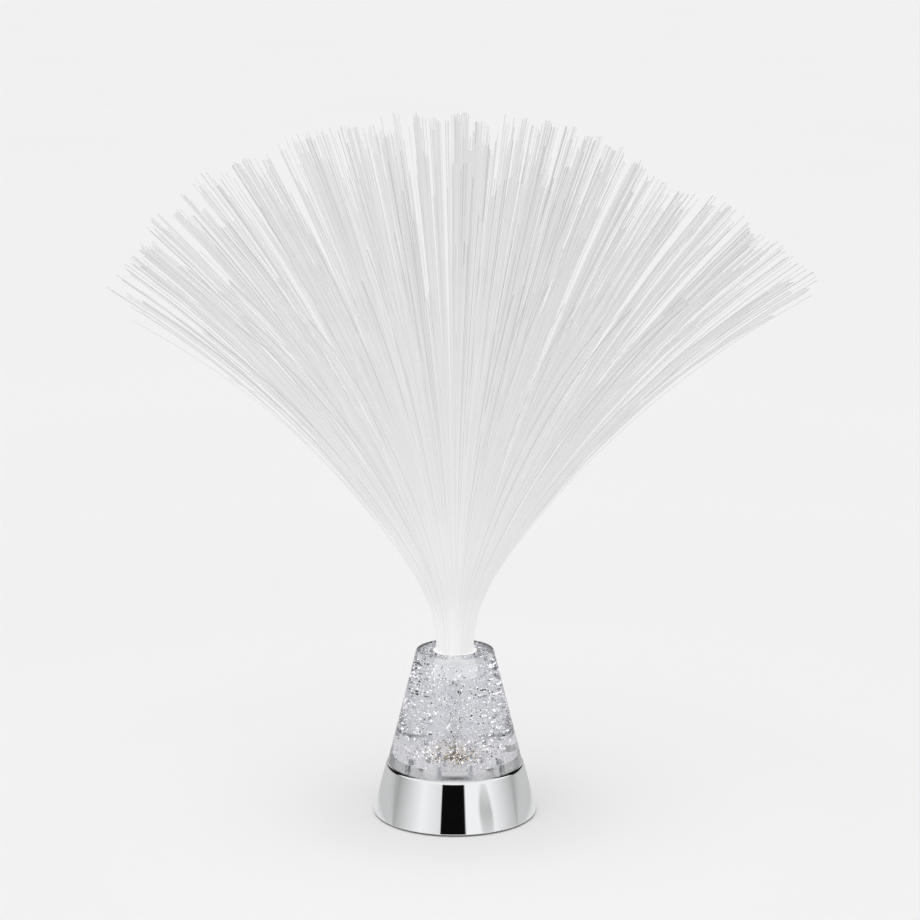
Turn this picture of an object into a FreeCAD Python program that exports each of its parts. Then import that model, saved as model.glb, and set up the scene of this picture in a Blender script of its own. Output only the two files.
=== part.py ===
import FreeCAD, Part
import Sketcher
import math
import os

# A table lamp whose light leaves through a spray of plastic optical fibres. The fibres stand in
# a clear cone filled with liquid and glitter, on a chrome-plated base with three AAA cells,
# three coloured LEDs and a slide switch. All lengths are in millimetres, Z is up, and the
# origin is the centre of the base on the surface that the lamp stands on.

Vector = FreeCAD.Vector
Z_UP = Vector(0, 0, 1)

doc = FreeCAD.newDocument("fibre_optic_lamp")
pieces = []  # every object that becomes a file, in the order it is made

# ---------------------------------------------------------------- driving dimensions

SIZES = [
    # outside form
    ("foot_height", 0.8, "the skirt's edge above the table"),
    ("base_radius", 39.0, "the skirt's outer radius at its lower edge"),
    ("base_top", 25.0, "the chrome deck above the table"),
    ("cone_top", 80.3, "the clear cone's rim above the table"),
    ("cone_top_radius", 18.4, "the clear cone's outer radius at its rim"),
    ("cone_inset", 0.6, "how far the cone's foot stands inside the chrome taper"),
    ("shoulder_round", 1.2, "round of the chrome shoulder"),
    ("skirt_round", 0.4, "round of the skirt's lower edge"),
    # walls of the base
    ("shell_wall", 1.8, "chrome shell, measured level"),
    ("deck_thickness", 2.0, "chrome shell under the cone"),
    ("plate_recess", 0.4, "underside plate above the skirt's edge"),
    ("plate_thickness", 2.6, "underside plate"),
    ("plate_gap", 0.25, "between the plate and the shell"),
    # glitter chamber
    ("cone_wall", 2.0, "cone, measured level"),
    ("cone_top_wall", 3.0, "cone under its rim"),
    ("tube_wall", 1.3, "socket tube in the middle of the cone"),
    ("rim_round", 0.8, "round of the cone's outer rim"),
    ("mouth_round", 0.4, "round of the socket's mouth"),
    ("cone_foot_round", 0.4, "round of the cone's lower edge"),
    ("floor_thickness", 4.0, "disc that closes the chamber from below"),
    ("weld_gap", 0.05, "welded or filled joints of the chamber"),
    ("plug_radius", 2.5, "stopper of the filling hole"),
    ("plug_turn", 30.0, "stopper, degrees round from +X"),
    # fibre bundle
    ("strand_diameter", 1.28, "one strand, which stands for a tuft of fibres"),
    ("strand_pitch", 1.38, "between neighbouring rings of strands"),
    ("sleeve_play", 0.08, "strands in the sleeve, all round"),
    ("sleeve_wall", 1.42, "white sleeve round the bundle"),
    ("seat_width", 0.8, "ledge in the cone that the sleeve stands on"),
    ("socket_play", 0.08, "sleeve in the cone's socket, all round"),
    ("sleeve_length", 12.0, "white sleeve"),
    ("sleeve_sink", 0.3, "sleeve's top below the rim"),
    ("sleeve_round", 0.4, "round of the sleeve's upper edge"),
    ("potting_length", 3.0, "glued and polished foot of the bundle"),
    ("potting_gap", 0.03, "glued foot in the sleeve, all round"),
    ("fibre_reach", 250.0, "free length of a strand above the rim"),
    ("tip_lean", 60.0, "lean of the outermost tips, in degrees"),
    ("bend_length", 42.0, "the stretch above the rim that bends most"),
    ("bend_share", 0.57, "part of the whole lean that this stretch makes"),
    ("tip_stagger", 2.2, "step between long and short strands"),
    # battery box, for AAA cells that lie along Y
    ("cell_radius", 5.25, "AAA cell"),
    ("cell_length", 44.5, "AAA cell with its button"),
    ("button_radius", 1.9, "positive button"),
    ("button_height", 1.0, "positive button"),
    ("cell_gap", 0.4, "between neighbouring cells"),
    ("cell_side_gap", 0.35, "outer cell to the box wall"),
    ("cell_lift", 0.3, "cells above the door"),
    ("cell_head_gap", 0.4, "cells below the box roof"),
    ("box_wall", 1.2, "battery box wall and roof"),
    ("contact_thickness", 0.4, "spring steel contact plate"),
    ("contact_width", 9.0, "contact plate of one cell"),
    ("contact_height", 8.0, "contact plate"),
    ("spring_radius", 3.0, "contact spring, middle of the wire"),
    ("spring_wire", 0.6, "contact spring, wire diameter"),
    ("spring_length", 5.7, "contact spring when a cell presses on it"),
    ("spring_turns", 3.25, "contact spring"),
    ("tab_width", 3.0, "solder tab of a contact"),
    ("tab_reach", 3.0, "solder tab from the contact's inner face"),
    ("tab_gap", 0.3, "solder tab in its slot"),
    # battery door
    ("door_thickness", 1.8, "battery door"),
    ("door_ledge", 1.0, "width of the ledge that the door's edge lies on"),
    ("door_gap", 0.25, "door to plate, all round"),
    ("door_tongue_width", 10.0, "tongue that holds the door's screw"),
    ("door_tongue_end", 3.2, "tongue beyond the middle of its screw"),
    ("door_rib_height", 1.2, "locating ribs inside the opening"),
    ("door_rib_width", 1.0, "locating ribs"),
    ("door_rib_length", 20.0, "locating ribs"),
    # screws, all driven from below
    ("screw_radius", 1.25, "self-tapping screw, over its thread"),
    ("screw_play", 0.1, "screw in its pilot hole"),
    ("hole_play", 0.35, "screw in a clearance hole"),
    ("head_radius", 2.4, "screw head"),
    ("head_height", 1.2, "screw head"),
    ("head_play", 0.3, "screw head in its counterbore"),
    ("recess_width", 0.8, "cross recess"),
    ("recess_depth", 0.7, "cross recess"),
    ("recess_length", 5.6, "cross recess, longer than the head is wide"),
    ("boss_wall", 1.7, "plastic round a pilot hole"),
    ("boss_bite", 0.2, "how far a boss runs into the wall beside it"),
    ("pilot_spare", 1.0, "pilot hole beyond the screw's end"),
    ("plate_screw_turn", 25.0, "plate screw, degrees round from the X axis"),
    ("plate_screw_length", 8.0, "plate screw under its head"),
    ("door_screw_length", 5.0, "door screw under its head"),
    ("chamber_screw_turn", 90.0, "first chamber screw, degrees round from +X"),
    ("chamber_screw_length", 5.0, "chamber screw under its head"),
    ("board_screw_length", 4.2, "board screw under its head"),
    ("board_screw_edge", 2.5, "board screw from the board's edge"),
    ("board_screw_turn", 60.0, "first board screw, degrees round from +X"),
    # feet
    ("foot_radius", 3.5, "rubber foot"),
    ("foot_play", 0.15, "foot in its recess"),
    ("foot_seat", 0.6, "depth of the foot's recess"),
    ("foot_edge", 0.4, "foot from the plate's edge"),
    ("foot_turn", 38.0, "foot, degrees round from the X axis"),
    # slide switch
    ("switch_edge", 6.0, "switch case from the plate's edge"),
    ("switch_width", 6.4, "switch case along X"),
    ("switch_height", 4.8, "switch case"),
    ("switch_wall", 0.6, "switch case"),
    ("switch_travel", 3.0, "the knob from off to on"),
    ("slider_length", 5.0, "slider inside the case, along Y"),
    ("slider_height", 2.4, "slider inside the case"),
    ("slider_play", 0.1, "slider in the case"),
    ("slider_stop_gap", 0.3, "slider from the case's end wall at either stop"),
    ("knob_width", 2.6, "the knob that a finger moves"),
    ("knob_play", 0.3, "knob in the plate's slot"),
    ("knob_clearance", 0.5, "knob above the table"),
    ("lug_width", 1.6, "solder lug"),
    ("lug_height", 1.8, "solder lug"),
    ("lug_thickness", 0.4, "solder lug"),
    ("lug_pitch", 4.0, "between solder lugs"),
    # circuit board
    ("board_radius", 15.5, "circuit board"),
    ("board_thickness", 1.6, "circuit board"),
    ("board_lift", 1.8, "board above the battery box"),
    ("led_radius", 2.5, "LED lens"),
    ("led_flange_radius", 2.9, "LED flange"),
    ("led_flange_height", 1.0, "LED flange"),
    ("led_height", 8.6, "LED over all"),
    ("led_distance", 4.6, "LED from the middle"),
    ("led_turn", 90.0, "first LED, degrees round from +X"),
    ("chip_radius", 2.8, "epoxy drop over the controller"),
    ("chip_top_radius", 1.7, "flat top of the epoxy drop"),
    ("chip_height", 1.1, "epoxy drop over the controller"),
    ("chip_edge", 4.0, "controller from the board's edge"),
    ("chip_turn", 120.0, "controller, degrees round from +X"),
    ("resistor_length", 2.0, "resistor"),
    ("resistor_width", 1.25, "resistor"),
    ("resistor_height", 0.6, "resistor"),
    ("resistor_edge", 4.5, "resistor from the board's edge"),
    ("resistor_turn", 200.0, "first resistor, degrees round from +X"),
    ("resistor_step", 25.0, "from one resistor to the next, in degrees"),
    # wires
    ("wire_diameter", 1.2, "insulated wire"),
    ("wire_gap", 0.1, "wire's end above its pad"),
    ("wire_bend", 0.45, "part of the shorter run that a bend takes up"),
]
RINGS = 6  # rings of strands round the middle one
THIRD = 120  # degrees between three places spread evenly round the middle
HALF_TURN = 180  # degrees
SPRING_STEPS = 16  # points on each turn of a contact spring


class Size:
    """A number together with the sheet expression that it comes from."""

    def __init__(self, value, text):
        self.value, self.text = float(value), text

    def join(self, other, sign, value):
        return Size(value, f"({self.text} {sign} {other.text})")

    def __add__(self, other):
        other = as_size(other)
        return self.join(other, "+", self.value + other.value)

    def __sub__(self, other):
        other = as_size(other)
        return self.join(other, "-", self.value - other.value)

    def __mul__(self, other):
        other = as_size(other)
        return self.join(other, "*", self.value * other.value)

    def __truediv__(self, other):
        other = as_size(other)
        return self.join(other, "/", self.value / other.value)

    def __radd__(self, other):
        return as_size(other) + self

    def __rsub__(self, other):
        return as_size(other) - self

    def __rmul__(self, other):
        return as_size(other) * self

    def __neg__(self):
        return Size(-self.value, f"(0 - {self.text})")


def as_size(number):
    return number if isinstance(number, Size) else Size(number, repr(float(number)))


sheet = doc.addObject("Spreadsheet::Sheet", "Sizes")
size = {}
for row, (name, value, note) in enumerate(SIZES, 1):
    sheet.set(f"A{row}", note)
    sheet.set(f"B{row}", str(value))
    sheet.setAlias(f"B{row}", name)
    size[name] = Size(value, f"Sizes.{name}")
doc.recompute()

# ---------------------------------------------------------------- levels and radii shared by pieces

side_slope = (size["base_radius"] - size["cone_top_radius"]) / (size["cone_top"] - size["foot_height"])
deck_under = size["base_top"] - size["deck_thickness"]
plate_under = size["foot_height"] + size["plate_recess"]
plate_top = plate_under + size["plate_thickness"]
chamber_floor_top = size["base_top"] + size["floor_thickness"]
chamber_roof = size["cone_top"] - size["cone_top_wall"]
cone_foot_radius = (
    size["base_radius"] - side_slope * (size["base_top"] - size["foot_height"]) - size["cone_inset"]
)
cone_slope = (cone_foot_radius - size["cone_top_radius"]) / (size["cone_top"] - size["base_top"])

bundle_radius = RINGS * size["strand_pitch"] + size["strand_diameter"] / 2
sleeve_bore = bundle_radius + size["sleeve_play"]
sleeve_radius = sleeve_bore + size["sleeve_wall"]
socket_radius = sleeve_radius + size["socket_play"]
window_radius = socket_radius - size["seat_width"]
tube_radius = socket_radius + size["tube_wall"]
sleeve_top = size["cone_top"] - size["sleeve_sink"]
sleeve_foot = sleeve_top - size["sleeve_length"]
strand_foot = sleeve_foot + size["potting_length"]

door_top = plate_under + size["door_thickness"]
cell_level = door_top + size["cell_lift"] + size["cell_radius"]
box_ceiling = cell_level + size["cell_radius"] + size["cell_head_gap"]
box_top = box_ceiling + size["box_wall"]
cell_pitch = 2 * size["cell_radius"] + size["cell_gap"]
box_half_width = cell_pitch + size["cell_radius"] + size["cell_side_gap"]
box_half_length = (size["cell_length"] + size["spring_length"]) / 2 + size["contact_thickness"]

board_under = box_top + size["board_lift"]
board_top = board_under + size["board_thickness"]
head_seat = plate_under + size["head_height"]
pilot_radius = size["screw_radius"] + size["screw_play"]
clear_radius = size["screw_radius"] + size["hole_play"]
counterbore_radius = size["head_radius"] + size["head_play"]
boss_radius = pilot_radius + size["boss_wall"]


def shell_radius(height):
    """The chrome taper's outer radius at a height."""
    return size["base_radius"] - side_slope * (height - size["foot_height"])


def cone_radius(height):
    """The clear cone's outer radius at a height."""
    return cone_foot_radius - cone_slope * (height - size["base_top"])


# ---------------------------------------------------------------- sketches and features


def bind(thing, prop, amount):
    """Set a property to an amount and tie it to the sheet."""
    thing.setExpression(prop, as_size(amount).text)


def origin_feature(body, role):
    return next(o for o in body.Origin.OriginFeatures if o.Role == role)


def new_body(label):
    body = doc.addObject("PartDesign::Body", label)
    body.Label = label
    body.AllowCompound = True
    pieces.append(body)
    return body


def new_sketch(body, role, height=None):
    sketch = body.newObject("Sketcher::SketchObject", f"{body.Label}_outline")
    sketch.AttachmentSupport = [(origin_feature(body, role), "")]
    sketch.MapMode = "FlatFace"
    if height is not None:
        bind(sketch, "AttachmentOffset.Base.z", height)
        sketch.AttachmentOffset = FreeCAD.Placement(Vector(0, 0, height.value), FreeCAD.Rotation())
    return sketch


def fix_point(sketch, geometry, point, across, up):
    """Hold a point of a sketch at its place along both sketch axes."""
    for kind, axis, amount in (("DistanceX", -2, as_size(across)), ("DistanceY", -1, as_size(up))):
        if amount.value == 0:
            sketch.addConstraint(Sketcher.Constraint("PointOnObject", geometry, point, axis))
        else:
            held = Sketcher.Constraint(kind, -1, 1, geometry, point, amount.value)
            number = sketch.addConstraint(held)
            bind(sketch, f"Constraints[{number}]", amount)


def add_outline(sketch, corners):
    """A closed outline of straight lines through the corners."""
    first, count = sketch.GeometryCount, len(corners)
    spots = [Vector(as_size(across).value, as_size(up).value, 0) for across, up in corners]
    for number in range(count):
        line = Part.LineSegment(spots[number], spots[(number + 1) % count])
        sketch.addGeometry(line, False)
    for number in range(count):
        following = first + (number + 1) % count
        sketch.addConstraint(Sketcher.Constraint("Coincident", first + number, 2, following, 1))
    for number, (across, up) in enumerate(corners):
        fix_point(sketch, first + number, 1, across, up)


def add_circles(sketch, circles):
    """Circles given as (x, y, radius)."""
    for x, y, radius in circles:
        centre = Vector(as_size(x).value, as_size(y).value, 0)
        number = sketch.addGeometry(Part.Circle(centre, Z_UP, as_size(radius).value), False)
        fix_point(sketch, number, 3, x, y)
        held = sketch.addConstraint(Sketcher.Constraint("Radius", number, as_size(radius).value))
        bind(sketch, f"Constraints[{held}]", radius)


def rectangle(half_x, half_y, x=0, y=0):
    """Corners of a rectangle about a centre."""
    half_x, half_y, x, y = (as_size(number) for number in (half_x, half_y, x, y))
    signs = ((-1, -1), (1, -1), (1, 1), (-1, 1))
    return [(x + half_x * side, y + half_y * end) for side, end in signs]


def turned(body, outline):
    """Material turned about Z from an outline of (radius, height) corners."""
    sketch = new_sketch(body, "XZ_Plane")
    add_outline(sketch, outline)
    feature = body.newObject("PartDesign::Revolution", f"{body.Label}_turned")
    feature.Profile = sketch
    feature.ReferenceAxis = (origin_feature(body, "Z_Axis"), [""])
    feature.Angle = 360
    sketch.Visibility = False
    return feature


def raised(body, height, length, outline=None, circles=()):
    """Material raised upwards from a level, over an outline or circles."""
    sketch = new_sketch(body, "XY_Plane", height)
    if outline:
        add_outline(sketch, outline)
    add_circles(sketch, circles)
    feature = body.newObject("PartDesign::Pad", f"{body.Label}_raised")
    feature.Profile = sketch
    bind(feature, "Length", length)
    return feature


def cut_up(body, height, depth, outline=None, circles=()):
    """Material cut away upwards from a level, over an outline or circles."""
    doc.recompute()
    before = body.Shape.Volume
    sketch = new_sketch(body, "XY_Plane", height)
    if outline:
        add_outline(sketch, outline)
    add_circles(sketch, circles)
    feature = body.newObject("PartDesign::Pocket", f"{body.Label}_cut")
    feature.Profile = sketch
    feature.Reversed = True
    bind(feature, "Length", depth)
    doc.recompute()
    if not body.Shape.Volume < before:
        raise RuntimeError(f"{feature.Name} removes nothing")
    return feature


def round_circles(body, radius, circles):
    """Round the full circles at the given (radius, height) places of a turned body."""
    doc.recompute()
    tip, names = body.Tip, []
    for number, edge in enumerate(tip.Shape.Edges, 1):
        if not isinstance(edge.Curve, Part.Circle):
            continue
        for ring, height in circles:
            same_ring = abs(edge.Curve.Radius - as_size(ring).value) < 0.001
            if same_ring and abs(edge.Curve.Center.z - as_size(height).value) < 0.001:
                names.append(f"Edge{number}")
    if len(names) != len(circles):
        raise RuntimeError(f"{body.Label}: {len(names)} of {len(circles)} edges found")
    feature = body.newObject("PartDesign::Fillet", f"{body.Label}_round")
    feature.Base = (tip, names)
    bind(feature, "Radius", radius)
    return feature


def place(thing, x, y, z):
    """Tie the place of a primitive to the sheet."""
    for letter, amount in zip("xyz", (x, y, z)):
        bind(thing, f"Placement.Base.{letter}", amount)


def cylinder(name, radius, height, x, y, z):
    thing = doc.addObject("Part::Cylinder", name)
    bind(thing, "Radius", radius)
    bind(thing, "Height", height)
    place(thing, x, y, z)
    return thing


def block(name, lengths, centre_x, centre_y, z):
    """A box centred on x and y that stands on z."""
    thing = doc.addObject("Part::Box", name)
    for prop, amount in zip(("Length", "Width", "Height"), lengths):
        bind(thing, prop, amount)
    place(thing, centre_x - as_size(lengths[0]) / 2, centre_y - as_size(lengths[1]) / 2, z)
    return thing


def fused(name, things):
    whole = doc.addObject("Part::MultiFuse", name)
    whole.Shapes = things
    return whole


def less(name, base, tool):
    rest = doc.addObject("Part::Cut", name)
    rest.Base, rest.Tool = base, tool
    return rest


def as_piece(thing, label):
    thing.Label = label
    pieces.append(thing)
    return thing


def group(label, things):
    """Like pieces that share one file."""
    whole = doc.addObject("Part::Compound", label)
    whole.Links = things
    return as_piece(whole, label)


def shaped(label, shape, placement=None):
    """A piece whose shape is worked out here."""
    thing = doc.addObject("Part::Feature", label)
    thing.Shape = shape
    thing.Placement = placement or FreeCAD.Placement()
    return as_piece(thing, label)


def around(distance, turn, count=1, step=THIRD):
    """Places on a circle about Z, as (x, y). Turn and step are in degrees."""
    places = []
    for number in range(count):
        angle = turn + as_size(step) * number
        across = Size(math.cos(math.radians(angle.value)), f"cos({angle.text})")
        up = Size(math.sin(math.radians(angle.value)), f"sin({angle.text})")
        places.append((distance * across, distance * up))
    return places


def four_corners(distance, turn):
    """Places at the same distance from the middle, as far round from the X axis each way."""
    return around(distance, turn, 2, HALF_TURN) + around(distance, -turn, 2, HALF_TURN)


def screw(name, x, y, seat, length):
    """A pan-head screw that points up, with its head below the seat."""
    head = cylinder(f"{name}_head", size["head_radius"], size["head_height"], x, y, seat - size["head_height"])
    shank = cylinder(f"{name}_shank", size["screw_radius"], length, x, y, seat)
    whole = fused(f"{name}_blank", [head, shank])
    level = seat - size["head_height"]
    recess = [
        block(f"{name}_slot_{number}", lengths, x, y, level)
        for number, lengths in enumerate(
            (
                (size["recess_length"], size["recess_width"], size["recess_depth"]),
                (size["recess_width"], size["recess_length"], size["recess_depth"]),
            )
        )
    ]
    return less(name, whole, fused(f"{name}_recess", recess))


# ---------------------------------------------------------------- where things stand

plate_inset = size["shell_wall"] + size["plate_gap"]
boss_distance = shell_radius(deck_under) - size["shell_wall"] - boss_radius + size["boss_bite"]
plate_screw_places = four_corners(boss_distance, size["plate_screw_turn"])
foot_distance = shell_radius(plate_under) - plate_inset - size["foot_radius"] - size["foot_edge"]
foot_places = four_corners(foot_distance, size["foot_turn"])
switch_x = shell_radius(plate_top) - plate_inset - size["switch_edge"] - size["switch_width"] / 2
board_screw_distance = size["board_radius"] - size["board_screw_edge"]
board_screw_places = around(board_screw_distance, size["board_screw_turn"], 3)
led_places = around(size["led_distance"], size["led_turn"], 3)
# the chamber's screws and stopper stand halfway between the tube and the cone's wall
chamber_middle = (tube_radius + cone_foot_radius - size["cone_wall"]) / 2
chamber_screw_places = around(chamber_middle, size["chamber_screw_turn"], 3)
plug_place = around(chamber_middle, size["plug_turn"])[0]
door_screw_y = box_half_length + size["box_wall"] + boss_radius - size["boss_bite"]
door_screw_place = (as_size(0), door_screw_y)
cell_places = [cell_pitch * number for number in (-1, 0, 1)]
cell_facing = (1, -1, 1)  # the end, along Y, that each cell's button points to


def drilled(places, radius):
    return [(x, y, radius) for x, y in places]


# ---------------------------------------------------------------- base


def make_base_shell():
    """The chrome-plated shell: a tapered skirt, a rounded shoulder and a flat deck."""
    body = new_body("base_shell")
    low, high = size["foot_height"], size["base_top"]
    wall = size["shell_wall"]
    turned(
        body,
        [
            (size["base_radius"], low),
            (shell_radius(high), high),
            (window_radius, high),
            (window_radius, deck_under),
            (shell_radius(deck_under) - wall, deck_under),
            (size["base_radius"] - wall, low),
        ],
    )
    round_circles(body, size["shoulder_round"], [(shell_radius(high), high)])
    round_circles(body, size["skirt_round"], [(size["base_radius"], low)])
    # bosses for the underside plate's screws, and posts that the circuit board hangs from
    raised(body, plate_top, deck_under - plate_top, circles=drilled(plate_screw_places, boss_radius))
    raised(body, board_top, deck_under - board_top, circles=drilled(board_screw_places, boss_radius))
    depth = size["plate_screw_length"] - (plate_top - head_seat) + size["pilot_spare"]
    cut_up(body, plate_top, depth, circles=drilled(plate_screw_places, pilot_radius))
    depth = size["board_screw_length"] - size["board_thickness"] + size["pilot_spare"]
    cut_up(body, board_top, depth, circles=drilled(board_screw_places, pilot_radius))
    cut_up(body, deck_under, size["deck_thickness"], circles=drilled(chamber_screw_places, clear_radius))


def door_outline(gap):
    """The door with its tongue, smaller by a gap all round."""
    half_x = box_half_width + size["door_ledge"] - gap
    half_y = box_half_length + size["door_ledge"] - gap
    tongue_x = size["door_tongue_width"] / 2 - gap
    tongue_y = door_screw_y + size["door_tongue_end"] - gap
    return [
        (-half_x, -half_y),
        (half_x, -half_y),
        (half_x, half_y),
        (tongue_x, half_y),
        (tongue_x, tongue_y),
        (-tongue_x, tongue_y),
        (-tongue_x, half_y),
        (-half_x, half_y),
    ]


def tab_slots():
    """The two slots in the box ends that the solder tabs come out through."""
    half = size["tab_width"] / 2 + size["tab_gap"]
    reach = size["box_wall"] / 2 + size["tab_gap"]
    middle = box_half_length + size["box_wall"] / 2
    plus, minus = cell_places[0], cell_places[2]
    return [rectangle(half, reach, plus, middle), rectangle(half, reach, minus, -middle)]


tab_level = cell_level + size["contact_height"] / 2 - size["contact_thickness"]


def make_base_plate():
    """The underside plate with the battery box, the door's ledge and the switch slot."""
    body = new_body("base_plate")
    turned(
        body,
        [
            (0, plate_under),
            (shell_radius(plate_under) - plate_inset, plate_under),
            (shell_radius(plate_top) - plate_inset, plate_top),
            (0, plate_top),
        ],
    )
    wall = size["box_wall"]
    raised(
        body,
        plate_top,
        box_top - plate_top,
        rectangle(box_half_width + wall, box_half_length + wall),
    )
    x, y = door_screw_place
    boss_height = size["door_screw_length"] + size["box_wall"]
    raised(body, plate_top, boss_height, circles=[(x, y, boss_radius)])
    cut_up(body, plate_under, box_ceiling - plate_under, rectangle(box_half_width, box_half_length))
    cut_up(body, plate_under, size["door_thickness"], door_outline(as_size(0)))
    cut_up(body, door_top, size["door_screw_length"] + size["pilot_spare"], circles=[(x, y, pilot_radius)])
    for slot in tab_slots():
        level = tab_level - size["tab_gap"]
        cut_up(body, level, size["contact_thickness"] + 2 * size["tab_gap"], slot)
    travel = (size["switch_travel"] + size["knob_width"]) / 2 + size["knob_play"]
    across = size["knob_width"] / 2 + size["knob_play"]
    cut_up(body, plate_under, size["plate_thickness"], rectangle(across, travel, switch_x, 0))
    cut_up(body, plate_under, size["plate_thickness"], circles=drilled(plate_screw_places, clear_radius))
    cut_up(body, plate_under, size["head_height"], circles=drilled(plate_screw_places, counterbore_radius))
    foot_hole = size["foot_radius"] + size["foot_play"]
    cut_up(body, plate_under, size["foot_seat"], circles=drilled(foot_places, foot_hole))


def make_battery_door():
    """The door under the cells, with a tongue for its screw and two locating ribs."""
    body = new_body("battery_door")
    raised(body, plate_under, size["door_thickness"], door_outline(size["door_gap"]))
    rib_x = box_half_width - size["door_gap"] - size["door_rib_width"] / 2
    for side in (-1, 1):
        rib = rectangle(size["door_rib_width"] / 2, size["door_rib_length"] / 2, rib_x * side, 0)
        raised(body, door_top, size["door_rib_height"], rib)
    x, y = door_screw_place
    cut_up(body, plate_under, size["door_thickness"], circles=[(x, y, clear_radius)])
    cut_up(body, plate_under, size["head_height"], circles=[(x, y, counterbore_radius)])


def make_feet():
    """Four rubber pads in shallow recesses of the plate."""
    height = plate_under + size["foot_seat"]
    feet = [
        cylinder(f"foot_pad_{number}", size["foot_radius"], height, x, y, as_size(0))
        for number, (x, y) in enumerate(foot_places, 1)
    ]
    group("foot_pads", feet)


def make_screws():
    """The four kinds of screw. Like screws share a file."""
    sets = (
        ("plate_screws", plate_screw_places, head_seat, "plate_screw_length"),
        ("chamber_screws", chamber_screw_places, deck_under, "chamber_screw_length"),
        ("board_screws", board_screw_places, board_under, "board_screw_length"),
    )
    for label, places, seat, length in sets:
        made = [
            screw(f"{label}_{number}", x, y, seat, size[length])
            for number, (x, y) in enumerate(places, 1)
        ]
        group(label, made)
    x, y = door_screw_place
    as_piece(screw("door_screw", x, y, head_seat, size["door_screw_length"]), "door_screw")


# ---------------------------------------------------------------- cells and contacts


def make_cells():
    """Three AAA cells side by side, the middle one turned end for end."""
    plate_face = box_half_length - size["contact_thickness"]
    can_length = size["cell_length"] - size["button_height"]
    for number, (x, facing) in enumerate(zip(cell_places, cell_facing), 1):
        label = f"battery_{number}"
        can = doc.addObject("Part::Cylinder", f"{label}_can")
        button = doc.addObject("Part::Cylinder", f"{label}_button")
        bind(can, "Radius", size["cell_radius"])
        bind(can, "Height", can_length)
        bind(button, "Radius", size["button_radius"])
        bind(button, "Height", size["button_height"])
        along = FreeCAD.Rotation(Vector(1, 0, 0), -90 * facing)
        shoulder = (plate_face - size["button_height"]) * facing
        for thing, start in ((can, shoulder - can_length * facing), (button, shoulder)):
            thing.Placement = FreeCAD.Placement(Vector(0, 0, 0), along)
            place(thing, x, start, cell_level)
        as_piece(fused(f"{label}_whole", [can, button]), label)


def make_springs():
    """The coil at each cell's flat end."""
    wire, radius = size["spring_wire"].value, size["spring_radius"].value
    face = (box_half_length - size["contact_thickness"]).value
    rise = (size["spring_length"].value - wire) / size["spring_turns"].value
    steps = round(size["spring_turns"].value * SPRING_STEPS)
    turns = [number / SPRING_STEPS for number in range(steps + 1)]
    spots = [
        Vector(radius * math.cos(math.tau * turn), radius * math.sin(math.tau * turn), rise * turn)
        for turn in turns
    ]
    line = Part.BSplineCurve()
    line.interpolate(spots)
    section = Part.Wire(Part.makeCircle(wire / 2, spots[0], line.tangent(line.FirstParameter)[0]))
    for number, (x, facing) in enumerate(zip(cell_places, cell_facing), 1):
        coil = Part.Wire([line.toShape()]).makePipeShell([section], True, True)
        spot = Vector(x.value, -facing * (face - wire / 2), cell_level.value)
        along = FreeCAD.Rotation(Vector(1, 0, 0), -90 * facing)
        shaped(f"contact_spring_{number}", coil, FreeCAD.Placement(spot, along))


def make_contacts():
    """Contact plates at the box ends: two terminals with solder tabs, and two bridges."""
    thick, height = size["contact_thickness"], size["contact_height"]
    low = cell_level - height / 2
    middle = box_half_length - thick / 2
    single = size["contact_width"]
    double = single + cell_pitch
    tab_y = box_half_length + (size["tab_reach"] - thick) / 2
    for label, x, end in (("terminal_plus", cell_places[0], 1), ("terminal_minus", cell_places[2], -1)):
        face = block(f"{label}_face", (single, thick, height), x, middle * end, low)
        tab = block(f"{label}_tab", (size["tab_width"], size["tab_reach"], thick), x, tab_y * end, tab_level)
        as_piece(fused(f"{label}_whole", [face, tab]), label)
    half_pitch = cell_pitch / 2
    for label, x, end in (("bridge_plate_1", -half_pitch, -1), ("bridge_plate_2", half_pitch, 1)):
        as_piece(block(f"{label}_face", (double, thick, height), x, middle * end, low), label)


# ---------------------------------------------------------------- switch

lug_level = plate_top + size["switch_height"]


def make_switch():
    """The slide switch behind the underside plate, and the knob that reaches through it."""
    x, wall = switch_x, size["switch_wall"]
    room = size["slider_length"] + size["switch_travel"] + 2 * size["slider_stop_gap"]
    outside = (size["switch_width"], room + 2 * wall, size["switch_height"])
    inside = (outside[0] - 2 * wall, outside[1] - 2 * wall, outside[2] - wall)
    case = less(
        "switch_case_shell",
        block("switch_case_outside", outside, x, as_size(0), plate_top),
        block("switch_case_inside", inside, x, as_size(0), plate_top),
    )
    lug = (size["lug_thickness"], size["lug_width"], size["lug_height"])
    lugs = [
        block(f"switch_lug_{number + 2}", lug, x, size["lug_pitch"] * number, lug_level)
        for number in (-1, 0, 1)
    ]
    as_piece(fused("switch_case_whole", [case] + lugs), "switch_case")
    # the knob rests at its off end, towards -Y
    y = -size["switch_travel"] / 2
    slider_size = (inside[0] - 2 * size["slider_play"], size["slider_length"], size["slider_height"])
    slider = block("switch_slider", slider_size, x, y, plate_top + size["slider_play"])
    knob_level = size["knob_clearance"]
    knob_size = (size["knob_width"], size["knob_width"], plate_top + size["slider_play"] * 2 - knob_level)
    knob = block("switch_finger", knob_size, x, y, knob_level)
    as_piece(fused("switch_knob_whole", [slider, knob]), "switch_knob")


# ---------------------------------------------------------------- circuit board


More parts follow.
